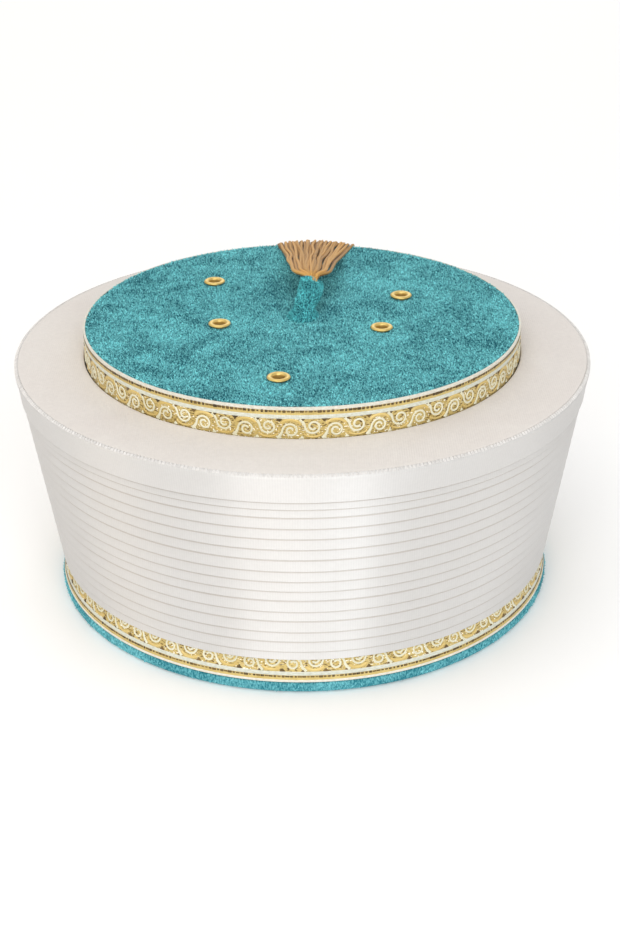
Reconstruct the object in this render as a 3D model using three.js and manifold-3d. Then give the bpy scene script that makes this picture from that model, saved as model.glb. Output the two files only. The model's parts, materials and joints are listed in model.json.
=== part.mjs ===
// Imam's turban: a velvet fez with a flat eyeletted crown, a thick wrap round it faced with
// overlapping courses of white satin ribbon, two woven gold trims, and a tassel that falls back
// from a velvet stem. Millimetres, +Z up. The origin is the centre of the base, on the table,
// and the wearer looks along -Y.
import * as THREE from 'three';
import { mergeVertices } from 'three/addons/utils/BufferGeometryUtils.js';
import Module from 'manifold-3d';

const wasm = await Module();
wasm.setup();

// Driving dimensions
const gap = 0.3; // clearance between pieces that touch
const roundSides = 40; // facets round every ring

// The fez
const fezHeight = 105.5; // table to the top of the velvet crown
const baseRadius = 97.5; // outside of the turned velvet hem
const hemHeight = 4.2;
const hemRoll = 0.8; // rounding of the hem's outer edges
const wallBaseRadius = 96.2; // outside of the wall just above the hem
const wallThickness = 2.6; // velvet over stiff felt
const headRadius = 93.6; // inside of the hem, for a head of about 58 cm
const crownRadius = 81.8;
const crownThickness = 3;
const crownEdge = 1.2; // rolled edge of the crown
const crownWallSet = 0.4; // the wall stands this far inside the crown's edge

// The wrap and its ribbons
const wrapTop = 93.4; // height of the cloth ring round the crown
const wrapFoot = 18.6;
const wrapShoulder = 88; // height where the wrap turns in behind the rim ribbon
const wrapSeamSet = 1.9; // the cloth ring's edge, inside the rim ribbon's face
const wrapSeamDrop = 0.4; // how far that edge lies below the ring
const wrapCrest = 95; // radius where the cloth ring stands highest
const wrapSwell = 0.1; // how far it stands above its edges there
const wrapTuck = 0.7; // how far its inner edge sinks beside the crown
const wrapEdge = 1.6; // rounding of the cloth ring's edges
const lowestCourse = 13.8; // lower edge of the lowest ribbon
const lowestCourseRadius = 96.9;
const flare = 0.152; // outward lean of the ribbons, radius gained per height
const ribbonThickness = 0.7;
const ribbonStep = ribbonThickness + gap; // how far a course stands proud of the one below it
const ribbonOverlap = 1.2; // height of each course hidden under the one above
const wrapSet = 2.55; // depth of the wrap's own face behind the ribbons' face
const rimRadius = 109.3;
const rimRibbonThickness = 0.9;
const rimProud = 0.3; // the rim ribbon's foot stands this far proud of the courses
const rimLean = 5; // height over which it climbs straight before it flares
const rimShoulder = 1; // depth of the shoulder it folds over
const rimFold = 2.2; // depth at which its flare ends

// Visible height of each ribbon course, from the rim down, as it was wound by hand
const courseTable = [
  { exposure: 3.4 },
  { exposure: 3.2 },
  { exposure: 4.6 },
  { exposure: 4.3 },
  { exposure: 4.5 },
  { exposure: 4.3 },
  { exposure: 5.0 },
  { exposure: 4.4 },
  { exposure: 4.3 },
  { exposure: 3.9 },
  { exposure: 5.1 },
  { exposure: 4.1 },
  { exposure: 5.1 },
  { exposure: 4.3 },
  { exposure: 4.7 },
  { exposure: 3.7 },
];

// The woven trims
const trimThickness = 0.7;
const lowerTrimTop = 16.6;
const upperTrimLip = 0.8; // the upper trim stops this far below the crown's top

// The eyelets, set by hand in the crown
const eyeletTable = [
  { name: 'eyelet_front', x: -8.1, y: -58.6 },
  { name: 'eyelet_left', x: -31, y: -8.4 },
  { name: 'eyelet_back_left', x: -35.1, y: 36.8 },
  { name: 'eyelet_right', x: 29.7, y: -13.2 },
  { name: 'eyelet_back_right', x: 38.7, y: 19.9 },
];
const eyeletSides = 12;
const eyeletBore = 2.35;
const eyeletBarrel = 2.75;
const eyeletFlange = 4.3;
const eyeletDome = 1.3; // height of the flange above the velvet
const eyeletRoll = 0.8; // thickness of the end rolled over inside
const eyeletRollSet = 0.5; // the rolled end is this much smaller than the flange
const domeInner = 0.6; // the dome's flat top, inwards and outwards of its middle
const domeOuter = 0.3;

// The stem and the tassel. The tassel's neck stands in the stem, its knot sits in the stem's
// mouth, and its locks fan out over the crown.
const stemRadius = 4.5;
const stemBore = 2.7;
const stemSides = 8;
const stemSteps = 6;
const neckRadius = 2.3;
const neckLength = 5; // part of the tassel's head that stands in the stem
const neckOut = 2; // and how far it reaches out of the mouth, into the knot
const headKnot = 4.1;
const knotStretch = new THREE.Vector3(1.15, 0.85, 1);
const lockCount = 8;
const lockSteps = 12;
const lockThickness = 1.9;
const lockRoot = 1.6; // width of a lock where it leaves the stem
const rootSwell = 1.2; // extra thickness there
const rootOut = 0.6; // the locks start this far out of the mouth
const lockOverlap = 1.08; // width of a lock over the spacing of the locks
const knotDrop = 6.2; // height above the crown where the locks leave the knot
const settle = 1.3; // and how far above it they still are as they come down to lie
const edgeBend = 1.9; // radius of the fall over the crown's edge
const edgeRun = 5; // length that lies straight before that fall
const tasselSpread = 14; // half the spread of the lock centres at the crown's edge
const tasselMiddle = 5.4; // the fan's middle, to the wearer's left of the crown's centre
const tasselEnd = 95.4; // height of the tassel's cut ends
const tasselFineness = 0.03; // shorter edges than this are merged where its locks meet

// Materials
const velvet = new THREE.MeshStandardMaterial({ color: 0x2f8f9b, roughness: 0.95, metalness: 0 });
const cloth = new THREE.MeshStandardMaterial({ color: 0xe9e1d8, roughness: 0.9, metalness: 0 });
const satin = new THREE.MeshStandardMaterial({ color: 0xf1efec, roughness: 0.35, metalness: 0 });
const lurex = new THREE.MeshStandardMaterial({ color: 0xd9b75c, roughness: 0.4, metalness: 0.7 });
const brass = new THREE.MeshStandardMaterial({ color: 0xd6ab45, roughness: 0.25, metalness: 1 });
const yarn = new THREE.MeshStandardMaterial({ color: 0xc99a63, roughness: 0.85, metalness: 0 });

const turban = new THREE.Group();

function addPiece(name, geometry, material) {
  const piece = new THREE.Mesh(geometry, material);
  piece.name = name;
  turban.add(piece);
  return piece;
}

// A ring or disc round +Z. The profile is a list of [radius, height], anticlockwise.
function turned(profile, sides = roundSides) {
  const points = profile.map(([radius, height]) => new THREE.Vector2(radius, height));
  return new THREE.LatheGeometry(points, sides).rotateX(Math.PI / 2);
}

function closedRing(profile, sides = roundSides) {
  return turned([...profile, profile[0]], sides);
}

function solidFrom(geometry) {
  const bare = geometry.index ? geometry.toNonIndexed() : geometry.clone();
  bare.deleteAttribute('normal');
  bare.deleteAttribute('uv');
  const merged = mergeVertices(bare, 1e-3);
  return new wasm.Manifold(
    new wasm.Mesh({
      numProp: 3,
      vertProperties: new Float32Array(merged.attributes.position.array),
      triVerts: new Uint32Array(merged.index.array),
    }),
  );
}

function geometryFrom(solid) {
  const mesh = solid.getMesh();
  const geometry = new THREE.BufferGeometry();
  geometry.setAttribute('position', new THREE.BufferAttribute(mesh.vertProperties, 3));
  geometry.setIndex(new THREE.BufferAttribute(mesh.triVerts, 1));
  geometry.computeVertexNormals();
  return geometry;
}

// Radius of the fez wall's outside at a height: a straight cone up to the wrap's top.
function wallRadius(height) {
  const share = Math.min((height - hemHeight) / (wrapTop - hemHeight), 1);
  return wallBaseRadius + (crownRadius - crownWallSet - wallBaseRadius) * share;
}

// Radius of the ribbons' face at a height.
function faceRadius(height) {
  return lowestCourseRadius + flare * (height - lowestCourse);
}

const crownUnderside = fezHeight - crownThickness;

function makeFezWall() {
  const wallTop = crownUnderside - gap;
  addPiece('fez_wall', closedRing([
    [headRadius, 0],
    [baseRadius - hemRoll, 0],
    [baseRadius, hemRoll],
    [baseRadius, hemHeight - hemRoll],
    [wallRadius(hemHeight), hemHeight],
    [wallRadius(wrapTop), wrapTop],
    [wallRadius(wrapTop), wallTop],
    [wallRadius(wrapTop) - wallThickness, wallTop],
    [wallRadius(wrapTop) - wallThickness, wrapTop],
    [wallRadius(hemHeight) - wallThickness, hemHeight],
  ]), velvet);
}

function makeCrown() {
  let crown = solidFrom(turned([
    [0, crownUnderside],
    [crownRadius, crownUnderside],
    [crownRadius, fezHeight - crownEdge],
    [crownRadius - crownEdge / 3, fezHeight - crownEdge / 3],
    [crownRadius - crownEdge, fezHeight],
    [0, fezHeight],
  ]));
  const holeRadius = eyeletBarrel + gap;
  for (const { x, y } of eyeletTable) {
    const hole = new THREE.CylinderGeometry(holeRadius, holeRadius, 3 * crownThickness, eyeletSides);
    hole.rotateX(Math.PI / 2).translate(x, y, crownUnderside);
    crown = crown.subtract(solidFrom(hole));
  }
  addPiece('crown_velvet', geometryFrom(crown), velvet);
}

// A brass eyelet: a domed flange on the velvet, a barrel, and the end rolled over inside the fez.
function makeEyelets() {
  const underside = -crownThickness - gap;
  const rollRadius = eyeletFlange - eyeletRollSet;
  const domeCrest = (eyeletBore + eyeletFlange) / 2;
  const profile = [
    [eyeletBore, underside - eyeletRoll],
    [rollRadius, underside - eyeletRoll],
    [rollRadius, underside],
    [eyeletBarrel, underside],
    [eyeletBarrel, gap],
    [eyeletFlange, gap],
    [domeCrest + domeOuter, eyeletDome],
    [domeCrest - domeInner, eyeletDome],
  ];
  for (const { name, x, y } of eyeletTable) {
    addPiece(name, closedRing(profile, eyeletSides), brass).position.set(x, y, fezHeight);
  }
}

function makeWrap() {
  const inner = (height) => wallRadius(height) + gap;
  const outer = (height) => faceRadius(height) - wrapSet;
  const besideTrim = crownRadius + gap + trimThickness;
  const seamRadius = rimRadius - wrapSeamSet;
  addPiece('turban_wrap', closedRing([
    [inner(wrapFoot), wrapFoot],
    [outer(wrapFoot), wrapFoot],
    [outer(wrapShoulder), wrapShoulder],
    [seamRadius, wrapTop - wrapEdge],
    [seamRadius - wrapEdge, wrapTop - wrapSeamDrop],
    [wrapCrest, wrapTop + wrapSwell],
    [besideTrim + wrapEdge, wrapTop - wrapTuck / 3],
    [besideTrim, wrapTop - wrapTuck],
  ]), cloth);
}

// One ribbon course: its lower edge stands proud, and its upper edge goes under the next one up.
function ribbonProfile(lowerEdge, exposure) {
  const upperEdge = lowerEdge + exposure + ribbonOverlap;
  const lean = ribbonStep * (upperEdge - lowerEdge) / exposure;
  const outside = [
    [faceRadius(lowerEdge), lowerEdge],
    [faceRadius(upperEdge) - lean, upperEdge],
  ];
  const inside = outside.map(([radius, height]) => [radius - ribbonThickness, height]).reverse();
  return [...outside, ...inside];
}

function makeRibbonCourses() {
  const shown = courseTable.reduce((sum, { exposure }) => sum + exposure, 0);
  let lowerEdge = lowestCourse + shown;
  courseTable.forEach(({ exposure }, index) => {
    lowerEdge -= exposure;
    const name = 'ribbon_course_' + String(index + 1).padStart(2, '0');
    addPiece(name, closedRing(ribbonProfile(lowerEdge, exposure)), satin);
  });
  return lowestCourse + shown;
}

// The wide ribbon at the rim: it leans out from its lower edge and folds over the shoulder.
function makeRimRibbon(lowerEdge) {
  const foot = faceRadius(lowerEdge) + rimProud;
  const lean = foot + rimProud;
  const fold = wrapTop - rimFold;
  const seamRadius = rimRadius - wrapSeamSet + gap;
  const seam = wrapTop - wrapSeamDrop + gap;
  const outside = [
    [foot, lowerEdge],
    [lean, lowerEdge + rimLean],
    [rimRadius, fold],
    [rimRadius, wrapTop - rimShoulder],
    [seamRadius, seam],
  ];
  const inside = [
    [seamRadius, seam - rimRibbonThickness],
    [rimRadius - rimRibbonThickness - gap, fold],
    [lean - rimRibbonThickness, lowerEdge + rimLean],
    [foot - rimRibbonThickness, lowerEdge],
  ];
  addPiece('rim_ribbon', closedRing([...outside, ...inside]), satin);
}

function trimBand(lower, upper, innerAt) {
  return closedRing([
    [innerAt(lower), lower],
    [innerAt(lower) + trimThickness, lower],
    [innerAt(upper) + trimThickness, upper],
    [innerAt(upper), upper],
  ]);
}

function makeTrims() {
  const onWall = (height) => wallRadius(height) + gap;
  const onCrown = () => crownRadius + gap;
  addPiece('lower_trim', trimBand(hemHeight + gap, lowerTrimTop, onWall), lurex);
  addPiece('upper_trim', trimBand(wrapTop + gap, fezHeight - upperTrimLip, onCrown), lurex);
}

// The stem rises from the crown's centre and bends back towards the tassel.
const stemPath = new THREE.CatmullRomCurve3([
  new THREE.Vector3(2.1, -1, fezHeight + gap + 0.15),
  new THREE.Vector3(2.1, -1, fezHeight + 1.9),
  new THREE.Vector3(2.6, 3, fezHeight + 5.6),
  new THREE.Vector3(3.9, 12.8, fezHeight + 6.8),
]);
const mouth = stemPath.getPoint(1);
const mouthDirection = stemPath.getTangent(1);

function makeStem() {
  const section = new THREE.Shape().absarc(0, 0, stemRadius, 0, 2 * Math.PI);
  section.holes.push(new THREE.Path().absarc(0, 0, stemBore, 0, 2 * Math.PI));
  const options = { steps: stemSteps, extrudePath: stemPath, curveSegments: stemSides };
  addPiece('velvet_stem', new THREE.ExtrudeGeometry(section, options), velvet);
}

// A closed strip along a curve: flat below, ridged above, its broad side held along `level`.
function strip(curve, steps, level, widthAt, thicknessAt) {
  const corners = [[-1, -1], [1, -1], [1, 0.2], [0, 1], [-1, 0.2]];
  const positions = [];
  for (let i = 0; i <= steps; i += 1) {
    const share = i / steps;
    const centre = curve.getPoint(share);
    const along = curve.getTangent(share);
    const side = level.clone().addScaledVector(along, -level.dot(along)).normalize();
    const normal = side.clone().cross(along).normalize();
    for (const [across, up] of corners) {
      const point = centre.clone()
        .addScaledVector(side, across * widthAt(share) / 2)
        .addScaledVector(normal, up * thicknessAt(share) / 2);
      positions.push(point.x, point.y, point.z);
    }
  }
  const count = corners.length;
  const faces = [];
  for (let i = 0; i < steps; i += 1) {
    for (let j = 0; j < count; j += 1) {
      const a = i * count + j;
      const b = i * count + (j + 1) % count;
      faces.push(a, b + count, b, a, a + count, b + count);
    }
  }
  for (let j = 1; j < count - 1; j += 1) {
    const last = steps * count;
    faces.push(0, j, j + 1, last, last + j + 1, last + j);
  }
  const geometry = new THREE.BufferGeometry();
  geometry.setAttribute('position', new THREE.Float32BufferAttribute(positions, 3));
  return geometry.setIndex(faces);
}

// One lock's route: out of the stem, down on to the crown, and round its back edge to hang.
function lockPath(outward) {
  const lying = fezHeight + gap + lockThickness / 2;
  const hanging = crownRadius + gap + trimThickness + gap + lockThickness / 2;
  const bendCentre = hanging - edgeBend;
  const edge = outward.clone().multiplyScalar(hanging);
  const overCrown = (share, height) => mouth.clone().lerp(edge, share).setZ(height);
  const atEdge = (radius, height) => outward.clone().multiplyScalar(radius).setZ(height);
  const bent = edgeBend * Math.SQRT1_2;
  return new THREE.CatmullRomCurve3([
    mouth.clone().addScaledVector(mouthDirection, rootOut),
    overCrown(0.12, fezHeight + knotDrop),
    overCrown(0.3, lying + settle),
    overCrown(0.6, lying),
    atEdge(bendCentre - edgeRun, lying),
    atEdge(bendCentre, lying),
    atEdge(bendCentre + bent, lying - edgeBend + bent),
    atEdge(hanging, lying - edgeBend),
    atEdge(hanging, tasselEnd),
  ]);
}

function makeTasselHead() {
  const neck = new THREE.CylinderGeometry(neckRadius, neckRadius, neckLength, stemSides);
  neck.translate(0, neckOut - neckLength / 2, 0);
  const knot = new THREE.SphereGeometry(headKnot, stemSides, 6);
  knot.scale(knotStretch.x, knotStretch.y, knotStretch.z).translate(0, headKnot + gap, 0);
  const turn = new THREE.Quaternion().setFromUnitVectors(new THREE.Vector3(0, 1, 0), mouthDirection);
  const placed = [neck, knot].map((geometry) => (
    solidFrom(geometry.applyQuaternion(turn).translate(mouth.x, mouth.y, mouth.z))
  ));
  return placed[0].add(placed[1]);
}

function makeTassel() {
  const spacing = 2 * tasselSpread / (lockCount - 1);
  const opened = (share) => Math.min(1, 0.15 + 1.3 * share);
  const widthAt = (share) => lockRoot + (spacing * lockOverlap - lockRoot) * opened(share);
  const thicknessAt = (share) => lockThickness + rootSwell * Math.max(0, 1 - 4 * share);
  let tassel = makeTasselHead();
  for (let i = 0; i < lockCount; i += 1) {
    const edgeX = tasselMiddle - tasselSpread + spacing * i;
    const outward = new THREE.Vector3(edgeX, Math.sqrt(crownRadius ** 2 - edgeX ** 2), 0).normalize();
    const level = new THREE.Vector3(outward.y, -outward.x, 0);
    const lock = strip(lockPath(outward), lockSteps, level, widthAt, thicknessAt);
    tassel = tassel.add(solidFrom(lock));
  }
  addPiece('tassel', geometryFrom(tassel.simplify(tasselFineness)), yarn);
}

makeFezWall();
makeCrown();
makeEyelets();
makeWrap();
makeRimRibbon(makeRibbonCourses());
makeTrims();
makeStem();
makeTassel();

export default turban;
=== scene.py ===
import json
import math
import random

import bpy
import numpy as np
from mathutils import Matrix, Vector, noise

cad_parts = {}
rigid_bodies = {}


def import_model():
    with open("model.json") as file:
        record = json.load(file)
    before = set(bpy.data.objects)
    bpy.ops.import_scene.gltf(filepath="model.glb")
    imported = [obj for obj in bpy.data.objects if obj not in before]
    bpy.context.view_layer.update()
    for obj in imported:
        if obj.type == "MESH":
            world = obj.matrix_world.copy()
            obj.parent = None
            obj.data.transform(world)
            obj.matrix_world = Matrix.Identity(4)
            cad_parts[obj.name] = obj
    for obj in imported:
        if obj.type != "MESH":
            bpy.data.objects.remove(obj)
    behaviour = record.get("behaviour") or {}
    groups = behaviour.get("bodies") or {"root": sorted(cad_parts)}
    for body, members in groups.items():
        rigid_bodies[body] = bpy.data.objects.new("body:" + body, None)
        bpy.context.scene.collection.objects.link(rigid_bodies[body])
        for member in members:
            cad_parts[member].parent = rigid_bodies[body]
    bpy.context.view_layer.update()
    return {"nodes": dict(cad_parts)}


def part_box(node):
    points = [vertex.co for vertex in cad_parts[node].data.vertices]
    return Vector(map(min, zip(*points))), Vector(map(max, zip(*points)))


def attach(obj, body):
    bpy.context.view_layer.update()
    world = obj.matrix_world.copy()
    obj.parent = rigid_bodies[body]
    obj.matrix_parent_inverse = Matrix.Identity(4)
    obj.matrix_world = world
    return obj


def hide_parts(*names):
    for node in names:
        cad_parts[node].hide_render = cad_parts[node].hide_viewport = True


# Imam's turban on a pale floor: a velvet fez in a ribbon-faced wrap, seen from the front and above.
# Metres, +Z up, the base rim's centre at the origin, the wearer looking along -Y.

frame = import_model()
mm = 0.001
turn = 2 * math.pi
print("frame loaded:", len(frame["nodes"]), "nodes")

crownLow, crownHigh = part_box("crown_velvet")
crownTop = crownHigh.z
crownRadius = crownHigh.x
wrapLow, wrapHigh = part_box("turban_wrap")
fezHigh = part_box("fez_wall")[1]
rimLow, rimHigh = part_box("rim_ribbon")
eyeletNames = sorted(name for name in frame["nodes"] if name.startswith("eyelet_"))
courseNames = sorted(name for name in frame["nodes"] if name.startswith("ribbon_course_"))


def middleOf(node):
    low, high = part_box(node)
    return (low + high) / 2


# Camera
# Turned very little about its own axis, as the photograph's is
cameraSet = {
    "focalPixels": 1600,
    "framePixels": 930,
    "sensor": 36,
    "place": (2.6 * mm, -568.3 * mm, 331.0 * mm),
    "pitch": 26.98,
    "roll": -0.42,
}


def makeCamera(values):
    data = bpy.data.cameras.new("camera")
    data.sensor_width = values["sensor"]
    data.lens = values["focalPixels"] / values["framePixels"] * values["sensor"]
    data.clip_end = 20
    camera = bpy.data.objects.new("camera", data)
    bpy.context.scene.collection.objects.link(camera)
    tilt = Matrix.Rotation(math.pi / 2 - math.radians(values["pitch"]), 4, "X")
    spin = Matrix.Rotation(math.radians(values["roll"]), 4, "Z")
    camera.matrix_world = Matrix.Translation(values["place"]) @ tilt @ spin
    bpy.context.scene.camera = camera


makeCamera(cameraSet)


# Mesh helpers
def addObject(name, mesh, *materials):
    piece = bpy.data.objects.new(name, mesh)
    bpy.context.scene.collection.objects.link(piece)
    for material in materials:
        mesh.materials.append(material)
    return piece


def meshFrom(name, points, faces, smoothAngle=40):
    mesh = bpy.data.meshes.new(name)
    mesh.from_pydata([tuple(p) for p in points], [], faces)
    mesh.validate()
    mesh.shade_smooth()
    mesh.set_sharp_from_angle(angle=math.radians(smoothAngle))
    return mesh


def curveThrough(points, perSpan=6):
    # A Catmull-Rom line through every point, in two or three dimensions
    known = [np.array(p, float) for p in points]
    known = [2 * known[0] - known[1], *known, 2 * known[-1] - known[-2]]
    line = []
    for a, b, c, d in zip(known, known[1:], known[2:], known[3:]):
        for step in range(perSpan):
            t = step / perSpan
            bend = (2 * a - 5 * b + 4 * c - d) * t**2 + (3 * b - a - 3 * c + d) * t**3
            line.append(0.5 * (2 * b + (c - a) * t + bend))
    line.append(known[-2])
    return np.array(line)


def evenly(path, spacing):
    # The same path with points at an even spacing
    path = np.asarray(path)
    lengths = np.r_[0, np.cumsum(np.linalg.norm(np.diff(path, axis=0), axis=1))]
    count = max(2, round(lengths[-1] / spacing))
    wanted = np.linspace(0, lengths[-1], count + 1)
    return np.stack([np.interp(wanted, lengths, path[:, axis]) for axis in range(path.shape[1])], 1)


def storeNumber(mesh, name, values):
    attribute = mesh.attributes.get(name) or mesh.attributes.new(name, "FLOAT", "POINT")
    attribute.data.foreach_set("value", np.asarray(values, np.float32))


def ringPoint(radius, angle, height):
    return (radius * math.sin(angle), -radius * math.cos(angle), height)


def turnedMesh(name, profile, sides=300, ripple=None, smoothAngle=40):
    # A closed ring. The profile is [radius, height] anticlockwise, and ripple moves a point at
    # (angle, index) by (outwards, upwards). UV is the length round and the length across.
    count = len(profile)
    across = [0.0]
    for (r0, z0), (r1, z1) in zip(profile, [*profile[1:], profile[0]]):
        across.append(across[-1] + math.hypot(r1 - r0, z1 - z0))
    roundLength = turn * sum(r for r, z in profile) / count
    points = []
    for side in range(sides):
        angle = turn * side / sides
        for index, (radius, height) in enumerate(profile):
            out, up = ripple(angle, index) if ripple else (0, 0)
            points.append(ringPoint(radius + out, angle, height + up))
    faces, uvs = [], []
    for side in range(sides):
        here, there = side * count, (side + 1) % sides * count
        u0, u1 = roundLength * side / sides, roundLength * (side + 1) / sides
        for index in range(count):
            after = (index + 1) % count
            faces.append((here + index, there + index, there + after, here + after))
            v0, v1 = across[index], across[index + 1]
            uvs += [u0, v0, u1, v0, u1, v1, u0, v1]
    mesh = meshFrom(name, points, faces, smoothAngle)
    mesh.uv_layers.new(name="UVMap").data.foreach_set("uv", uvs)
    return mesh


def frameAlong(path):
    # For each point of a path, its direction and two axes across it that never twist
    tangents = np.gradient(path, axis=0)
    tangents /= np.linalg.norm(tangents, axis=1)[:, None]
    across = np.cross(tangents[0], (0, 0, 1.0))
    if np.linalg.norm(across) < 0.1:
        across = np.cross(tangents[0], (0, 1.0, 0))
    frames = []
    for tangent in tangents:
        across = across - tangent * np.dot(across, tangent)
        across /= np.linalg.norm(across)
        frames.append((tangent, across, np.cross(tangent, across)))
    return frames


def skinRings(rings, sides, first=0):
    # Faces over a stack of rings of points, numbered from first, with both ends closed
    faces = []
    for ring in range(rings - 1):
        for side in range(sides):
            a = first + ring * sides + side
            b = first + ring * sides + (side + 1) % sides
            faces.append((a, b, b + sides, a + sides))
    last = first + (rings - 1) * sides
    faces.append(tuple(range(first + sides - 1, first - 1, -1)))
    faces.append(tuple(range(last, last + sides)))
    return faces


def tubeParts(path, radiusAt, sides, first=0):
    # Points and faces of a closed tube, numbered from first: radiusAt(step, angle) is its radius
    points = []
    for step, (centre, (tangent, across, up)) in enumerate(zip(path, frameAlong(path))):
        for side in range(sides):
            angle = turn * side / sides
            reach = math.cos(angle) * across + math.sin(angle) * up
            points.append(centre + radiusAt(step, angle) * reach)
    return points, skinRings(len(path), sides, first)


def bearPile(piece, bears):
    # Marks the vertices where pile grows, those for which bears(vertex) is true
    storeNumber(piece.data, "pile", [float(bears(vertex)) for vertex in piece.data.vertices])
    return piece


def bakeModifiers(piece):
    # What the modifiers make becomes the piece's own mesh
    bpy.context.view_layer.update()
    graph = bpy.context.evaluated_depsgraph_get()
    baked = bpy.data.meshes.new_from_object(piece.evaluated_get(graph), depsgraph=graph)
    piece.modifiers.clear()
    old = piece.data
    piece.data = baked
    bpy.data.meshes.remove(old)
    baked.name = piece.name
    return piece


def handIn(piece, slot, *nodes):
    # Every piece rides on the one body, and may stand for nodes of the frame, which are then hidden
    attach(piece, "root")
    if nodes:
        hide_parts(*nodes)
    return piece

# Node helpers, for shaders and for geometry alike
def startTree(name, kind, inputs, outputs):
    tree = bpy.data.node_groups.new(name, kind)
    for label, socketKind, value in inputs:
        socket = tree.interface.new_socket(name=label, in_out="INPUT", socket_type=socketKind)
        if value is not None:
            socket.default_value = value
    for label, socketKind in outputs:
        tree.interface.new_socket(name=label, in_out="OUTPUT", socket_type=socketKind)
    given = tree.nodes.new("NodeGroupInput").outputs
    made = tree.nodes.new("NodeGroupOutput").inputs
    return tree, given, made


def placeNode(tree, kind, sockets=None, **settings):
    node = tree.nodes.new(kind)
    node.location = (len(tree.nodes) % 9 * 200, -(len(tree.nodes) // 9) * 260)
    for key, value in settings.items():
        setattr(node, key, value)
    for key, value in (sockets or {}).items():
        if isinstance(value, bpy.types.NodeSocket):
            tree.links.new(value, node.inputs[key])
        else:
            node.inputs[key].default_value = value
    return node


def calc(tree, operation, *values):
    node = placeNode(tree, "ShaderNodeMath", dict(enumerate(values)), operation=operation)
    return node.outputs[0]


def vectorCalc(tree, operation, *values):
    node = placeNode(tree, "ShaderNodeVectorMath", dict(enumerate(values)), operation=operation)
    return node.outputs[0]


def joinVector(tree, *parts):
    return placeNode(tree, "ShaderNodeCombineXYZ", dict(enumerate(parts))).outputs[0]


def splitVector(tree, vector):
    return placeNode(tree, "ShaderNodeSeparateXYZ", {0: vector}).outputs


def stretch(tree, value, low, high, newLow=0.0, newHigh=1.0):
    sockets = {0: value, 1: low, 2: high, 3: newLow, 4: newHigh}
    return placeNode(tree, "ShaderNodeMapRange", sockets, clamp=True).outputs[0]


def blendColours(tree, factor, first, second, kind="MIX"):
    sockets = {0: factor, 6: first, 7: second}
    return placeNode(tree, "ShaderNodeMix", sockets, data_type="RGBA", blend_type=kind).outputs[2]


def noiseOf(tree, vector, scale, detail=2.0, roughness=0.5, distortion=0.0):
    sockets = {"Vector": vector, "Scale": scale, "Detail": detail, "Roughness": roughness,
               "Distortion": distortion}
    return placeNode(tree, "ShaderNodeTexNoise", sockets).outputs[0]


# Helpers for geometry trees
def meshPlace(tree):
    return placeNode(tree, "GeometryNodeInputPosition").outputs[0]


def randomOf(tree, low, high, seed):
    sockets = {2: low, 3: high, "Seed": seed}
    return placeNode(tree, "FunctionNodeRandomValue", sockets, data_type="FLOAT").outputs[1]


def randomVector(tree, reach, seed):
    # Up to reach either way on each axis
    sockets = {0: tuple(-part for part in reach), 1: reach, "Seed": seed}
    return placeNode(tree, "FunctionNodeRandomValue", sockets, data_type="FLOAT_VECTOR").outputs[0]


def storeOnMesh(tree, geometry, name, value, kind="FLOAT", domain="POINT"):
    sockets = {"Geometry": geometry, "Name": name, "Value": value}
    return placeNode(tree, "GeometryNodeStoreNamedAttribute", sockets,
                     data_type=kind, domain=domain).outputs[0]


def moveTo(tree, geometry, place):
    sockets = {"Geometry": geometry, "Position": place}
    return placeNode(tree, "GeometryNodeSetPosition", sockets).outputs[0]


def endTree(tree, geometry, given, made):
    # Each tree ends as real faces in their material
    real = placeNode(tree, "GeometryNodeRealizeInstances", {0: geometry}).outputs[0]
    sockets = {"Geometry": real, "Material": given["Material"]}
    tree.links.new(placeNode(tree, "GeometryNodeSetMaterial", sockets).outputs[0], made[0])
    return tree


def runNodes(piece, tree, values):
    # Bakes a geometry tree into the piece's own mesh
    modifier = piece.modifiers.new(tree.name, "NODES")
    modifier.node_group = tree
    for item in tree.interface.items_tree:
        if item.in_out == "INPUT" and item.name in values:
            modifier[item.identifier] = values[item.name]
    return bakeModifiers(piece)


# Shader groups
def makeWeaveGroup():
    # Two sets of threads that cross, in threads to the metre, with slubs
    tree, given, made = startTree(
        "threadWeave", "ShaderNodeTree",
        [("Coordinates", "NodeSocketVector", None), ("Warp", "NodeSocketFloat", 1500),
         ("Weft", "NodeSocketFloat", 1500), ("Slubs", "NodeSocketFloat", 0.5)],
        [("Height", "NodeSocketFloat"), ("Slub", "NodeSocketFloat")],
    )
    parts = splitVector(tree, given["Coordinates"])
    waves = []
    for axis, threads in (("X", "Warp"), ("Y", "Weft")):
        phase = calc(tree, "MULTIPLY", calc(tree, "MULTIPLY", parts[axis], given[threads]), turn)
        waves.append(calc(tree, "SINE", phase))
    crossed = calc(tree, "ADD", *waves)
    slub = stretch(tree, noiseOf(tree, given["Coordinates"], 700, 3), 0.3, 0.7)
    height = calc(tree, "ADD", calc(tree, "MULTIPLY", crossed, 0.25),
                  calc(tree, "MULTIPLY", slub, given["Slubs"]))
    tree.links.new(height, made["Height"])
    tree.links.new(slub, made["Slub"])
    return tree


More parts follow.
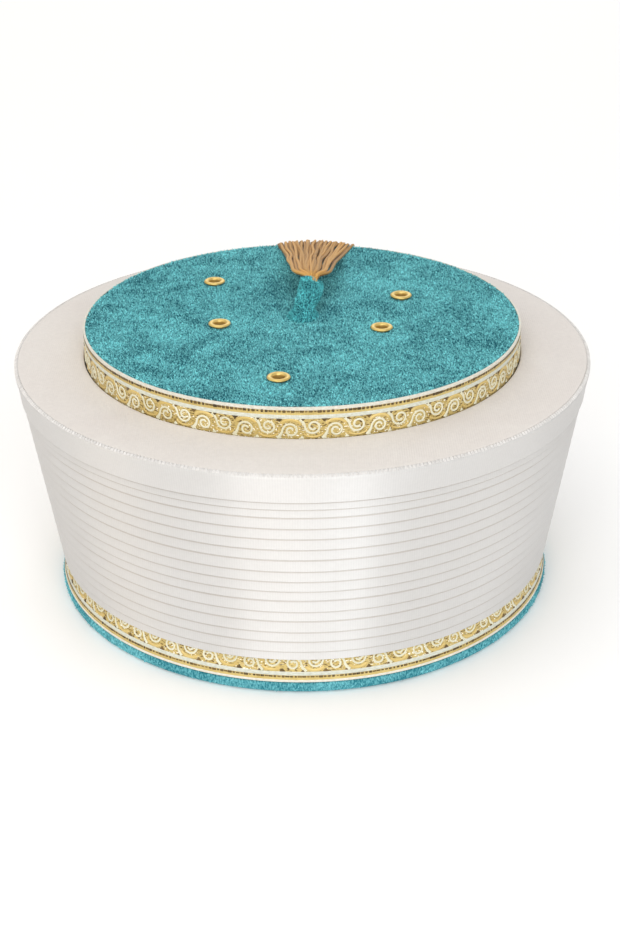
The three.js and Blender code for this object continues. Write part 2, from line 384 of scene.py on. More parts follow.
def makeToneGroup():
    # Slow drifts between two tones, as dye, nap and handling leave them
    tree, given, made = startTree(
        "toneDrift", "ShaderNodeTree",
        [("Coordinates", "NodeSocketVector", None), ("Scale", "NodeSocketFloat", 30),
         ("Spread", "NodeSocketFloat", 0.15), ("Dark", "NodeSocketColor", (0.5, 0.5, 0.5, 1)),
         ("Light", "NodeSocketColor", (1, 1, 1, 1))],
        [("Color", "NodeSocketColor"), ("Drift", "NodeSocketFloat")],
    )
    broad = noiseOf(tree, given["Coordinates"], given["Scale"], 5, 0.6, 0.8)
    low = calc(tree, "SUBTRACT", 0.5, given["Spread"])
    high = calc(tree, "ADD", 0.5, given["Spread"])
    drift = stretch(tree, broad, low, high)
    tree.links.new(blendColours(tree, drift, given["Dark"], given["Light"]), made["Color"])
    tree.links.new(drift, made["Drift"])
    return tree


weaveGroup = makeWeaveGroup()
toneGroup = makeToneGroup()


# Materials
def dye(red, green, blue):
    # A colour given as 0 to 255 on a screen
    linear = [(c / 255 + 0.055) / 1.055 if c > 10 else c / 255 / 12.92 for c in (red, green, blue)]
    return tuple(c**2.4 if c > 0.05 else c for c in linear) + (1.0,)


def startMaterial(name, values):
    material = bpy.data.materials.new(name)
    material.use_nodes = True
    shader = material.node_tree.nodes["Principled BSDF"]
    for label, value in values.items():
        shader.inputs[label].default_value = value
    return material, material.node_tree, shader.inputs


def placeGroup(tree, group, sockets):
    return placeNode(tree, "ShaderNodeGroup", sockets, node_tree=group).outputs


def driftOf(tree, place, scale, spread, dark, light):
    return placeGroup(tree, toneGroup, {
        "Coordinates": place, "Scale": scale, "Spread": spread, "Dark": dark, "Light": light,
    })


def weaveOf(tree, place, warp, weft, slubs):
    return placeGroup(tree, weaveGroup, {
        "Coordinates": place, "Warp": warp, "Weft": weft, "Slubs": slubs,
    })


def objectPlace(tree):
    return placeNode(tree, "ShaderNodeTexCoord").outputs["Object"]


def ownMap(tree):
    return placeNode(tree, "ShaderNodeUVMap", uv_map="UVMap").outputs[0]


def ownValue(tree, name):
    return placeNode(tree, "ShaderNodeAttribute", attribute_name=name).outputs["Fac"]


def mapOf(tree, vector, **settings):
    sockets = {"Vector": vector, **settings}
    return placeNode(tree, "ShaderNodeMapping", sockets).outputs[0]


def shadeBy(tree, colour, value):
    # The colour times a value near one
    grey = placeNode(tree, "ShaderNodeCombineColor", {0: value, 1: value, 2: value}).outputs[0]
    return blendColours(tree, 1.0, colour, grey, "MULTIPLY")


def dress(tree, shader, colour, height, distance, strength):
    # The colour of a surface and its fine relief
    sockets = {"Strength": strength, "Distance": distance, "Height": height}
    tree.links.new(colour, shader["Base Color"])
    tree.links.new(placeNode(tree, "ShaderNodeBump", sockets).outputs[0], shader["Normal"])


def makeVelvet(name, dark, light, patches, sheen):
    # Every tuft carries its own tone, over patches of painted shade where the nap lies another way
    material, tree, shader = startMaterial(name, {
        "Roughness": 0.9, "Specular IOR Level": 0.1, "Sheen Weight": sheen, "Sheen Roughness": 0.4,
        "Sheen Tint": dye(140, 224, 230),
    })
    place = objectPlace(tree)
    patch = stretch(tree, noiseOf(tree, place, patches, 4, 0.62, 0.6), 0.36, 0.62)
    hatch = mapOf(tree, place, Rotation=(0, 0, 0.62), Scale=(1900, 700, 1000))
    streak = stretch(tree, noiseOf(tree, hatch, 1.0, 1, 0.5), 0.3, 0.7)
    # A face without tufts, such as the ground under the pile, reads no tuft value and takes the darkest
    # colour: painted shade between the tufts
    shares = ((ownValue(tree, "tuft"), 0.46), (patch, 0.18), (streak, 0.36))
    tuftPart, patchPart, streakPart = [calc(tree, "MULTIPLY", part, share) for part, share in shares]
    shade = calc(tree, "ADD", tuftPart, calc(tree, "ADD", patchPart, streakPart))
    colour = blendColours(tree, stretch(tree, shade, 0.12, 0.88), dark, light)
    dress(tree, shader, colour, streak, 0.2 * mm, 0.4)
    return material


def makeFelt():
    material, tree, shader = startMaterial("feltLining", {"Roughness": 0.95, "Sheen Weight": 0.15})
    place = objectPlace(tree)
    tone = driftOf(tree, place, 90, 0.2, dye(196, 190, 178), dye(222, 216, 204))
    dress(tree, shader, tone["Color"], noiseOf(tree, place, 1400, 4), 0.3 * mm, 0.6)
    return material


def makeCloth():
    # The wound cotton whose top shows round the crown
    material, tree, shader = startMaterial("wrapCloth", {
        "Roughness": 0.8, "Sheen Weight": 0.2, "Sheen Roughness": 0.5, "Specular IOR Level": 0.25,
    })
    place = objectPlace(tree)
    tone = driftOf(tree, place, 16, 0.2, dye(213, 207, 203), dye(220, 216, 212))
    weave = weaveOf(tree, place, 1250, 1250, 0.6)
    colour = shadeBy(tree, tone["Color"], stretch(tree, weave["Slub"], 0, 1, 0.97, 1.02))
    dress(tree, shader, colour, weave["Height"], 0.1 * mm, 0.45)
    return material


def makeSatin():
    # White ribbon whose floats run along it, so a light draws out into a tall streak
    material, tree, shader = startMaterial("satinRibbon", {
        "Roughness": 0.5, "Metallic": 0.3, "IOR": 1.7, "Specular IOR Level": 0.7, "Anisotropic": 1.0,
        "Anisotropic Rotation": 0.25,
    })
    tangent = placeNode(tree, "ShaderNodeTangent", direction_type="RADIAL", axis="Z").outputs[0]
    tree.links.new(tangent, shader["Tangent"])
    tone = driftOf(tree, objectPlace(tree), 13, 0.25, dye(211, 209, 207), dye(218, 217, 216))
    weave = weaveOf(tree, ownMap(tree), 1150, 2600, 0.45)
    unshadowedSatin = shadeBy(tree, tone["Color"], stretch(tree, weave["Height"], -0.4, 0.9, 0.935, 1.03))
    # The strip next to the foot of the ribbon above gets a painted shadow: a brown line standing for the
    # shade under that ribbon's edge
    paintedShadow = stretch(tree, ownValue(tree, "cover"), 0.8, 0.87, 0.0, 0.36)
    colour = blendColours(tree, paintedShadow, unshadowedSatin, dye(158, 138, 118))
    dress(tree, shader, colour, weave["Height"], 0.05 * mm, 0.3)
    return material


def makeThread(name, dark, light, roughness=0.6, metallic=0.0):
    # Twisted thread, each repeat with its own shade
    material, tree, shader = startMaterial(name, {"Metallic": metallic, "Sheen Weight": 0.1})
    strand = noiseOf(tree, objectPlace(tree), 2600, 2)
    mixed = calc(tree, "ADD", calc(tree, "MULTIPLY", ownValue(tree, "shade"), 0.6),
                 stretch(tree, strand, 0.3, 0.7, 0.0, 0.4))
    gloss = stretch(tree, strand, 0.3, 0.7, roughness - 0.1, roughness + 0.1)
    tree.links.new(gloss, shader["Roughness"])
    dress(tree, shader, blendColours(tree, mixed, dark, light), strand, 0.1 * mm, 0.5)
    return material


trimSet = {
    # where each zone ends, in millimetres from the trim's plain edge
    "edge": 1.0,
    "row": 2.7,
    "pale": 4.2,
    # the width of the scrolls' field, and the length of one scroll and one dash, in millimetres
    "field": 7.2,
    "pitch": 7.75,
    "dashPitch": 1.5,
    "thickness": 0.6 * mm,
    "sides": 320,
}


def makeTrimCloth():
    # The woven ground of both trims, read across its width: white edge, gold row, pale band, then
    # gold all over, with painted reflections where the flat metal thread turns: dark flecks and bright
    # glints
    material, tree, shader = startMaterial("trimCloth", {
        "Specular IOR Level": 0.5, "Sheen Weight": 0.1,
    })
    uv = ownMap(tree)
    down = calc(tree, "MULTIPLY", splitVector(tree, uv)[1], 1 / mm)

    def zone(low, high):
        return calc(tree, "MULTIPLY", calc(tree, "GREATER_THAN", down, low),
                    calc(tree, "LESS_THAN", down, high))

    def flecksOf(along, across, shift):
        rows = mapOf(tree, uv, Location=(shift, 0, 0), Scale=(along, across, 1.0))
        return noiseOf(tree, rows, 1.0, 1, 0.4)

    inRow = zone(trimSet["edge"], trimSet["row"])
    inPale = zone(trimSet["row"], trimSet["pale"])
    inField = calc(tree, "GREATER_THAN", down, trimSet["pale"])
    isGold = calc(tree, "ADD", inRow, inField)
    fleck = flecksOf(720.0, 2100.0, 0.0)
    glintSpots = flecksOf(1300.0, 1500.0, 7.0)
    cluster = flecksOf(110.0, 140.0, 3.0)

    def clustered(flecks, *limits):
        inCluster = calc(tree, "MULTIPLY", inField, stretch(tree, cluster, *limits))
        return calc(tree, "MULTIPLY", flecks, inCluster)

    tone = driftOf(tree, uv, 150, 0.2, dye(184, 159, 90), dye(211, 189, 122))
    # Dark flecks are painted dark reflection, and the near-white flecks painted glints, on the gold field
    dark = clustered(stretch(tree, fleck, 0.55, 0.6), 0.38, 0.52, 0.35, 1.0)
    paintedGlint = clustered(stretch(tree, glintSpots, 0.61, 0.66), 0.62, 0.5)
    gold = blendColours(tree, dark, tone["Color"], dye(104, 80, 34))
    gold = blendColours(tree, paintedGlint, gold, dye(255, 252, 238))
    thread = stretch(tree, fleck, 0.3, 0.7)
    white = blendColours(tree, thread, dye(206, 201, 186), dye(226, 223, 212))
    pale = blendColours(tree, thread, dye(192, 194, 180), dye(214, 216, 204))
    colour = blendColours(tree, isGold, blendColours(tree, inPale, white, pale), gold)
    tree.links.new(calc(tree, "MULTIPLY", isGold, 0.25), shader["Metallic"])
    tree.links.new(stretch(tree, fleck, 0.3, 0.7, 0.3, 0.6), shader["Roughness"])
    weave = weaveOf(tree, uv, 1800, 2300, 0.8)
    dress(tree, shader, colour, weave["Height"], 0.12 * mm, 0.6)
    return material


def makeBrass():
    # Bright lacquered brass, a little paler and glossier in drifts
    material, tree, shader = startMaterial("pressedBrass", {"Metallic": 0.75})
    place = objectPlace(tree)
    tone = driftOf(tree, place, 420, 0.25, dye(214, 182, 104), dye(232, 206, 134))
    tree.links.new(stretch(tree, tone["Drift"], 0, 1, 0.42, 0.3), shader["Roughness"])
    dress(tree, shader, tone["Color"], noiseOf(tree, place, 2200, 4), 0.04 * mm, 0.25)
    return material


def makeYarn():
    # Each cord carries its own shade value, random and lower on the deeper layers as painted shade, with
    # fibres that run along it
    material, tree, shader = startMaterial("tasselYarn", {
        "Roughness": 0.62, "Specular IOR Level": 0.3, "Sheen Weight": 0.15, "Sheen Roughness": 0.4,
    })
    fibres = noiseOf(tree, mapOf(tree, ownMap(tree), Scale=(1.0, 5.0, 1.0)), 900, 3)
    mixed = calc(tree, "ADD", calc(tree, "MULTIPLY", ownValue(tree, "shade"), 0.6),
                 calc(tree, "MULTIPLY", fibres, 0.4))
    colour = blendColours(tree, stretch(tree, mixed, 0.12, 0.72), dye(76, 43, 12), dye(206, 158, 88))
    dress(tree, shader, colour, fibres, 0.12 * mm, 0.5)
    return material


velvet = makeVelvet("velvetPile", dye(4, 80, 95), dye(156, 250, 255), patches=58, sheen=0.25)
# The stem and hem take copies of the crown's velvet: the stem's is darker, painted shade, and the hem's
# paler, painted light on its upright band
stemVelvet = makeVelvet("stemVelvet", dye(2, 62, 78), dye(124, 240, 246), patches=230, sheen=0.15)
hemVelvet = makeVelvet("hemVelvet", dye(42, 116, 130), dye(152, 236, 245), patches=40, sheen=0.2)
felt = makeFelt()
cloth = makeCloth()
satin = makeSatin()
trimCloth = makeTrimCloth()
whiteThread = makeThread("whiteThread", dye(204, 199, 168), dye(227, 225, 203))
ribbonThread = makeThread("ribbonThread", dye(198, 196, 194), dye(224, 222, 220))
# Bronze thread for the darts; on the dashes the dark colour is painted dark reflection in the gold row
bronzeThread = makeThread("bronzeThread", dye(26, 18, 4), dye(128, 100, 48), 0.45, 0.2)
goldThread = makeThread("goldThread", dye(196, 168, 93), dye(220, 195, 127), 0.45, 0.2)
brass = makeBrass()
yarn = makeYarn()
print("materials made")


# Pile
pileSet = {
    "width": 0.19 * mm,
    "length": 0.66 * mm,
    "sizes": (0.7, 1.3),
    "stray": 0.95,
    "lean": 0.45,
    "patch": 58.0,
    # the way of the nap is a drift of noise less its middle, and lies flat
    "napMiddle": (0.42, 0.62, 0.5),
    "napReach": (4.0, 4.0, 0.0),
    "shadeSeed": 77,
}


def makePileTree(values):
    # Tufts of pile on the faces whose pile value is above nought, leaning as the nap was brushed
    tree, given, made = startTree(
        "growPile", "GeometryNodeTree",
        [("Geometry", "NodeSocketGeometry", None), ("Density", "NodeSocketFloat", 1e6),
         ("Length", "NodeSocketFloat", 1e-3), ("Width", "NodeSocketFloat", 2e-4),
         ("Lean", "NodeSocketFloat", 0.5), ("Seed", "NodeSocketInt", 1),
         ("Material", "NodeSocketMaterial", None)],
        [("Geometry", "NodeSocketGeometry")],
    )
    share = placeNode(tree, "GeometryNodeInputNamedAttribute", {"Name": "pile"}, data_type="FLOAT")
    density = calc(tree, "MULTIPLY", share.outputs[0], given["Density"])
    sown = placeNode(tree, "GeometryNodeDistributePointsOnFaces", {
        "Mesh": given["Geometry"], "Density": density, "Seed": given["Seed"]}).outputs
    swirl = placeNode(tree, "ShaderNodeTexNoise", {
        "Vector": meshPlace(tree), "Scale": values["patch"], "Detail": 4.0}).outputs[1]
    nap = vectorCalc(tree, "SUBTRACT", swirl, values["napMiddle"])
    nap = vectorCalc(tree, "MULTIPLY", nap, values["napReach"])
    nap = placeNode(tree, "ShaderNodeVectorMath", {0: nap, "Scale": given["Lean"]},
                    operation="SCALE").outputs[0]
    stray = randomVector(tree, (values["stray"],) * 3, given["Seed"])
    way = vectorCalc(tree, "ADD", vectorCalc(tree, "ADD", sown["Normal"], stray), nap)
    turned = placeNode(tree, "FunctionNodeAlignRotationToVector", {"Vector": way}, axis="Z").outputs[0]
    marked = storeOnMesh(tree, sown[0], "tuft", randomOf(tree, 0.0, 1.0, values["shadeSeed"]))
    tuft = placeNode(tree, "GeometryNodeMeshCone", {
        "Vertices": 3, "Radius Bottom": given["Width"], "Depth": given["Length"],
    }, fill_type="NONE").outputs[0]
    grown = placeNode(tree, "GeometryNodeInstanceOnPoints", {
        "Points": marked, "Instance": tuft, "Rotation": turned,
        "Scale": randomOf(tree, *values["sizes"], given["Seed"]),
    }).outputs[0]
    return endTree(tree, grown, given, made)


pileTree = makePileTree(pileSet)


def growPile(name, ground, count, seed, material, scale=1.0):
    # About count tufts over the part of the ground that bears pile
    mesh = ground.data
    shares = np.zeros(len(mesh.vertices), np.float32)
    mesh.attributes["pile"].data.foreach_get("value", shares)
    area = sum(face.area * shares[list(face.vertices)].mean() for face in mesh.polygons)
    piece = addObject(name, mesh.copy())
    piece.data.materials.clear()
    runNodes(piece, pileTree, {
        "Density": count / area, "Length": pileSet["length"] * scale, "Width": pileSet["width"] * scale,
        "Lean": pileSet["lean"], "Seed": seed, "Material": material,
    })
    print(name, len(piece.data.polygons), "faces")
    return handIn(piece, "velvet")


# The crown
crownSet = {
    "rings": 74,
    "sides": 280,
    "edge": 1.6 * mm,
    "edgeSteps": 5,
    "dimple": 0.55 * mm,
    "eyeletDimple": 7 * mm,  # how far a dimple reaches
    "stemDimple": 9 * mm,
    "sway": 0.35 * mm,
    "swayGrain": 28,
    "rippleGrain": 75,
    "flange": 1.55 * mm,
    "holeSpare": 0.25 * mm,
    "pileDepth": 1.9 * mm,
    "tufts": 61000,
    "fringe": 0.9 * mm,  # the width of the edge's longer tufts
    "edgeTufts": 4200,
}
eyeletSpots = [middleOf(name).xy for name in eyeletNames]
eyeletReach = (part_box(eyeletNames[0])[1].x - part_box(eyeletNames[0])[0].x) / 2
stemRadius = 4.5 * mm
stemFoot = Vector((0.9 * mm, -1.2 * mm))


def crownHeight(x, y, values):
    # Slow sways of the stuffed velvet, drawn down round each eyelet and under the stem
    height = values["sway"] * noise.noise(Vector((x, y, 0)) * values["swayGrain"])
    height += 0.5 * values["sway"] * noise.noise(Vector((x, y, 0.3)) * values["rippleGrain"])
    dimples = [(spot, values["eyeletDimple"]) for spot in eyeletSpots]
    for spot, reach in [*dimples, (stemFoot, values["stemDimple"])]:
        height -= values["dimple"] * math.exp(-((Vector((x, y)) - spot).length / reach) ** 2)
    edge = max(0, math.hypot(x, y) - (crownRadius - values["edge"]))
    return height * (1 - min(1, edge / values["edge"]))


def cutHoles(piece, values):
    # One bore for each eyelet
    points, faces = [], []
    bore = eyeletReach - values["flange"] + values["holeSpare"]
    for spot in eyeletSpots:
        path = np.array([(spot.x, spot.y, crownTop - 8 * mm), (spot.x, spot.y, crownTop + 4 * mm)])
        more, sides = tubeParts(path, lambda step, angle: bore, 24, len(points))
        points += more
        faces += sides
    cutter = addObject("cutter", meshFrom("cutter", points, faces))
    cut = piece.modifiers.new("holes", "BOOLEAN")
    cut.object = cutter
    cut.solver = "EXACT"
    bakeModifiers(piece)
    bpy.data.objects.remove(cutter)


def makeCrown(values):
    rings, sides, steps = values["rings"], values["sides"], values["edgeSteps"]
    inner = crownRadius - values["edge"]
    profile = [(inner * (ring + 1) / rings, 0) for ring in range(rings)]
    for step in range(1, steps + 1):
        angle = step / steps * math.pi / 2
        out, down = values["edge"] * math.sin(angle), values["edge"] * (1 - math.cos(angle))
        profile.append((inner + out, -down))
    profile.append((crownRadius, crownLow.z - crownTop))
    points, faces = [(0, 0, crownTop + crownHeight(0, 0, values))], []
    for radius, drop in profile:
        for side in range(sides):
            x, y, z = ringPoint(radius, turn * side / sides, crownTop + drop)
            points.append((x, y, z + (crownHeight(x, y, values) if z > crownLow.z + mm else 0)))
    for side in range(sides):
        following = (side + 1) % sides
        faces.append((0, 1 + side, 1 + following))
        for ring in range(len(profile) - 1):
            a, b = 1 + ring * sides + side, 1 + ring * sides + following
            faces.append((a, a + sides, b + sides, b))
    last = 1 + (len(profile) - 1) * sides
    faces.append(tuple(range(last + sides - 1, last - 1, -1)))
    piece = addObject("crown_face", meshFrom("crown_face", points, faces), velvet)
    cutHoles(piece, values)

    def bears(vertex):
        spot = vertex.co.xy
        offEyelets = min((spot - eyelet).length for eyelet in eyeletSpots) > eyeletReach - 0.1 * mm
        offStem = (spot - stemFoot).length > stemRadius - mm
        return offEyelets and offStem and vertex.co.z > crownTop - values["pileDepth"]

    return bearPile(piece, bears)


def crowdEdge(piece, values):
    # Longer tufts over the rolled edge, which hang over the trim's plain edge
    near, low = crownRadius - values["fringe"], crownTop - values["edge"]
    bearPile(piece, lambda vertex: vertex.co.xy.length > near and vertex.co.z > low)
    growPile("crown_edge_pile", piece, values["edgeTufts"], 14, velvet, 1.5)


crownFace = makeCrown(crownSet)
growPile("crown_pile", crownFace, crownSet["tufts"], 11, velvet)
crowdEdge(crownFace, crownSet)
handIn(crownFace, "velvet", "crown_velvet")
print("crown made")


# The fez wall and its hem
fezSet = {
    "hem": 4.2 * mm,
    "roll": 0.9 * mm,
    "foot": 2.0 * mm,
    "wall": 2.6 * mm,
    "inset": 1.3 * mm,  # from the hem's face back to the wall's
    "crownGap": 0.4 * mm,
    "pileLow": 1.05 * mm,
    "tufts": 19000,
    "sides": 280,
}


def makeFez(values):
    hemOut, hem, foot, roll = fezHigh.x, values["hem"], values["foot"], values["roll"]
    topRadius = crownRadius - values["crownGap"]
    wallFoot = hemOut - values["inset"]
    inside = wallFoot - values["wall"]
    low = [(hemOut - foot * (1 - math.sin(a)), foot * (1 - math.cos(a)))
           for a in (0, 0.3, 0.6, 0.9, 1.2, math.pi / 2)]
    upper = [(hemOut - roll * (1 - math.cos(a)), hem - roll * (1 - math.sin(a)))
             for a in (0, 0.4, 0.8, 1.2, math.pi / 2)]
    profile = [
        (inside + 0.4 * mm, 0), *low, (hemOut, 2.6 * mm), *upper,
        (wallFoot, hem), (topRadius, wrapHigh.z), (topRadius, fezHigh.z),
        (topRadius - values["wall"], fezHigh.z), (topRadius - values["wall"], wrapHigh.z),
        (inside, hem), (inside, 0.4 * mm),
    ]
    mesh = turnedMesh("fez_shell", profile, values["sides"])
    piece = addObject("fez_shell", mesh, hemVelvet, felt)
    for face in mesh.polygons:
        centre = face.center
        outwards = face.normal.x * centre.x + face.normal.y * centre.y
        face.material_index = 1 if outwards < -1e-4 and centre.xy.length < hemOut - foot else 0

    def bears(vertex):
        return vertex.co.xy.length > hemOut - foot and values["pileLow"] < vertex.co.z < hem

    return bearPile(piece, bears)


fezShell = makeFez(fezSet)
growPile("hem_pile", fezShell, fezSet["tufts"], 12, hemVelvet, 0.8)
handIn(fezShell, "velvet", "fez_wall")
print("fez made")


# The wrap
wrapSet = {
    "sway": 0.3 * mm,
    "sides": 300,
    "innerGap": 0.25 * mm,
    "footGap": 2.0 * mm,
    "foot": 95.2 * mm,
    "face": (104.5 * mm, 80 * mm),
    "middle": 95 * mm,
    "swayReach": 11 * mm,
    "back": 83.8 * mm,
    # points in millimetres, out from the seam or from the upper trim, and up from the wrap's top
    "shoulder": [(0.5, -1.7), (0.8, -0.9), (0.55, -0.3), (-0.9, -0.02)],
    "lip": [(4, 0.35), (1.1, 0.55), (0.2, 0.3), (0, -0.8)],
}


def makeWrap(values):
    low, high, seam = wrapLow.z, wrapHigh.z, wrapHigh.x
    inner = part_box("upper_trim")[1].x + values["innerGap"]
    foot = fezHigh.x - fezSet["inset"] - values["footGap"]
    top = curveThrough([
        (seam - 1.3 * mm, 85 * mm),
        *[(seam + out * mm, high + up * mm) for out, up in values["shoulder"]],
        (values["middle"], high + 0.15 * mm),
        *[(inner + out * mm, high + up * mm) for out, up in values["lip"]],
    ], 5)
    profile = [(foot + 0.2 * mm, low), (values["foot"], low), values["face"], *[tuple(p) for p in top],
               (values["back"], high - 6 * mm), (foot, low + 4 * mm)]

    def ripple(angle, index):
        radius, height = profile[index]
        if height < high - 3 * mm:
            return 0, 0
        spot = Vector((math.sin(angle), math.cos(angle), radius * 22))
        lift = noise.noise(spot * 2.3) + 0.45 * noise.noise(spot * 6)
        middle = max(0, 1 - abs(radius - values["middle"]) / values["swayReach"])
        return 0, values["sway"] * lift * (0.2 + middle)

    return addObject("wrap_cloth", turnedMesh("wrap_cloth", profile, values["sides"], ripple, 60), cloth)


wrapCloth = makeWrap(wrapSet)
handIn(wrapCloth, "cloth", "turban_wrap")
print("wrap made")


# The ribbon courses
courseSet = {
    "thickness": 0.42 * mm,
    "step": 0.62 * mm,
    "flare": 0.152,
    "belly": 0.12 * mm,
    "bead": 0.1 * mm,
    "beadUp": 0.4 * mm,
    "beadWidth": 0.28 * mm,
    "waver": 0.12 * mm,
    # topShadowLine widens the painted shadow line under the rim ribbon
    "topShadowLine": 0.13,  # the line under the rim ribbon is the widest
    "crowding": 1.7,  # of the rows towards the foot
    "topTaper": 12.0,
    "sides": 330,
    "rows": 25,
}


def makeCourseTree(values):
    # One ribbon laid round the wrap: a grid rolled into a closed flat ring with rounded edges
    tree, given, made = startTree(
        "layRibbon", "GeometryNodeTree",
        [("Geometry", "NodeSocketGeometry", None), ("Foot Radius", "NodeSocketFloat", 0.1),
         ("Foot Height", "NodeSocketFloat", 0.02), ("Exposure", "NodeSocketFloat", 0.004),
         ("Overlap", "NodeSocketFloat", 0.001), ("Flare", "NodeSocketFloat", 0.15),
         ("Step", "NodeSocketFloat", 5e-4), ("Thickness", "NodeSocketFloat", 4e-4),
         ("Belly", "NodeSocketFloat", 1e-4), ("Bead", "NodeSocketFloat", 1e-4),
         ("Waver", "NodeSocketFloat", 2e-4), ("Edge", "NodeSocketFloat", 0.0),
         ("Seed", "NodeSocketFloat", 0.0),
         ("Sides", "NodeSocketInt", 360), ("Rows", "NodeSocketInt", 25),
         ("Material", "NodeSocketMaterial", None)],
        [("Geometry", "NodeSocketGeometry")],
    )

    def add(a, b):
        return calc(tree, "ADD", a, b)

    def times(a, b):
        return calc(tree, "MULTIPLY", a, b)

    def less(a, b):
        return calc(tree, "SUBTRACT", a, b)

    def least(a, b):
        return calc(tree, "MINIMUM", a, b)

    def over(a, b):
        return calc(tree, "DIVIDE", a, b)

    grid = placeNode(tree, "GeometryNodeMeshGrid", {
        "Size X": 1.0, "Size Y": 1.0, "Vertices X": given["Sides"], "Vertices Y": given["Rows"]})
    spot = splitVector(tree, meshPlace(tree))
    angle = times(add(spot["X"], 0.5), turn)
    sine, cosine = calc(tree, "SINE", angle), calc(tree, "COSINE", angle)

    # Across the ribbon: up its face from the foot, over its top edge and down its back
    across = times(spot["Y"], 2.0)
    climb = calc(tree, "POWER", less(1.0, calc(tree, "ABSOLUTE", across)), values["crowding"])
    face = times(calc(tree, "SIGN", across), -1.0)
    width = add(given["Exposure"], given["Overlap"])
    rise = times(climb, width)
    shown = over(rise, given["Exposure"])
    roundEdge = less(1.0, least(over(rise, times(given["Thickness"], 0.5)), 1.0))
    edgeHalf = calc(tree, "SQRT", less(1.0, times(roundEdge, roundEdge)))
    topEdge = least(times(less(1.0, climb), values["topTaper"]), 1.0)
    half = times(times(times(edgeHalf, given["Thickness"]), 0.5), topEdge)

    # Its slope over the one below, its belly, the bead along its foot and its waver round the hat
    slope = less(times(rise, given["Flare"]), times(shown, given["Step"]))
    belly = times(calc(tree, "SINE", times(least(shown, 1.0), math.pi)), given["Belly"])
    fromBead = over(less(rise, values["beadUp"]), values["beadWidth"])
    bead = times(calc(tree, "EXPONENT", times(times(fromBead, fromBead), -1.0)), given["Bead"])
    roundSpot = joinVector(tree, cosine, sine, given["Seed"])
    drift = less(noiseOf(tree, roundSpot, 1.6, 1), 0.5)
    flutter = less(noiseOf(tree, roundSpot, 7.0, 1), 0.5)
    waver = times(add(drift, times(flutter, 0.35)), given["Waver"])
    reach = add(add(add(given["Foot Radius"], slope), add(belly, bead)),
                add(times(face, half), less(times(waver, 0.5), times(given["Thickness"], 0.5))))
    height = add(add(given["Foot Height"], rise), waver)
    place = joinVector(tree, times(reach, sine), times(times(reach, cosine), -1.0), height)

    # cover is the share of the ribbon shown, plus Edge on the highest course; the satin paints a shadow
    # line where it nears the foot of the ribbon above
    covered = storeOnMesh(tree, grid.outputs["Mesh"], "cover", add(shown, given["Edge"]))
    laid = moveTo(tree, covered, place)
    uvSize = joinVector(tree, times(given["Foot Radius"], turn), times(width, 2.0), 1.0)
    uv = vectorCalc(tree, "MULTIPLY", grid.outputs["UV Map"], uvSize)
    mapped = storeOnMesh(tree, laid, "UVMap", uv, "FLOAT2", "CORNER")
    closed = placeNode(tree, "GeometryNodeMergeByDistance", {"Geometry": mapped, "Distance": 2e-6})
    soft = placeNode(tree, "GeometryNodeSetShadeSmooth",
                     {"Geometry": closed.outputs[0], "Shade Smooth": True}).outputs[0]
    return endTree(tree, soft, given, made)


courseTree = makeCourseTree(courseSet)


def layCourses(values):
    # From the highest down: each shows up to the foot of the one above, the highest to the rim's
    foot = rimLow.z
    for number, node in enumerate(courseNames):
        low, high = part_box(node)
        piece = addObject(f"satin_course_{number + 1:02d}", bpy.data.meshes.new(node))
        runNodes(piece, courseTree, {
            "Foot Radius": high.x, "Foot Height": low.z, "Exposure": foot - low.z,
            "Overlap": high.z - foot, "Flare": values["flare"], "Step": values["step"],
            "Thickness": values["thickness"], "Belly": values["belly"], "Bead": values["bead"],
            "Waver": values["waver"], "Edge": 0.0 if number else values["topShadowLine"],
            "Seed": 3.7 * number, "Sides": values["sides"] + 1,
            "Rows": values["rows"], "Material": satin,
        })
        handIn(piece, "satin", node)
        foot = low.z


layCourses(courseSet)
print("ribbon courses laid")


# The rim ribbon
rimSet = {
    "thickness": 0.5 * mm,
    "sides": 320,
    "waver": 0.2 * mm,
    "footRadius": 107.95 * mm,
    # points in millimetres: the face and the lip from the foot, the shoulder from the reach and top
    "face": [(0, 0), (0.25, 2.4), (0.65, 5.4)],
    "shoulder": [(-0.3, -2.9), (0, -1.3), (-0.2, -0.6), (-0.65, -0.15)],
    "lip": [(-0.45, -0.1), (-0.08, -0.12)],
}


def makeRim(values):
    foot, top, reach = rimLow.z, rimHigh.z, rimHigh.x
    seam = wrapHigh.x + 0.6 * mm
    footRadius = values["footRadius"]
    outside = curveThrough([
        *[(footRadius + out * mm, foot + up * mm) for out, up in values["face"]],
        *[(reach + out * mm, top + up * mm) for out, up in values["shoulder"]],
        (seam, top - 0.05 * mm),
    ], 5)
    inside = []
    for before, here, after in zip(outside, outside[1:], outside[2:]):
        along = (after - before) / np.linalg.norm(after - before)
        inside.append(here + values["thickness"] * np.array((-along[1], along[0])))
    inside = [p for p in inside if p[1] > foot + 0.1 * mm][::-1]
    lip = [(footRadius + out * mm, foot + up * mm) for out, up in values["lip"]]
    profile = [tuple(p) for p in outside] + [tuple(p) for p in inside] + lip

    def ripple(angle, index):
        spot = Vector((math.sin(angle), math.cos(angle), profile[index][1] * 15))
        out = noise.noise(spot * 1.3) + 0.3 * noise.noise(spot * 5)
        return values["waver"] * out * 0.6, values["waver"] * 0.4 * noise.noise(spot * 2)

    return addObject("rim_satin", turnedMesh("rim_satin", profile, values["sides"], ripple, 60), satin)


rimSatin = makeRim(rimSet)
handIn(rimSatin, "satin", "rim_ribbon")
print("rim ribbon made")


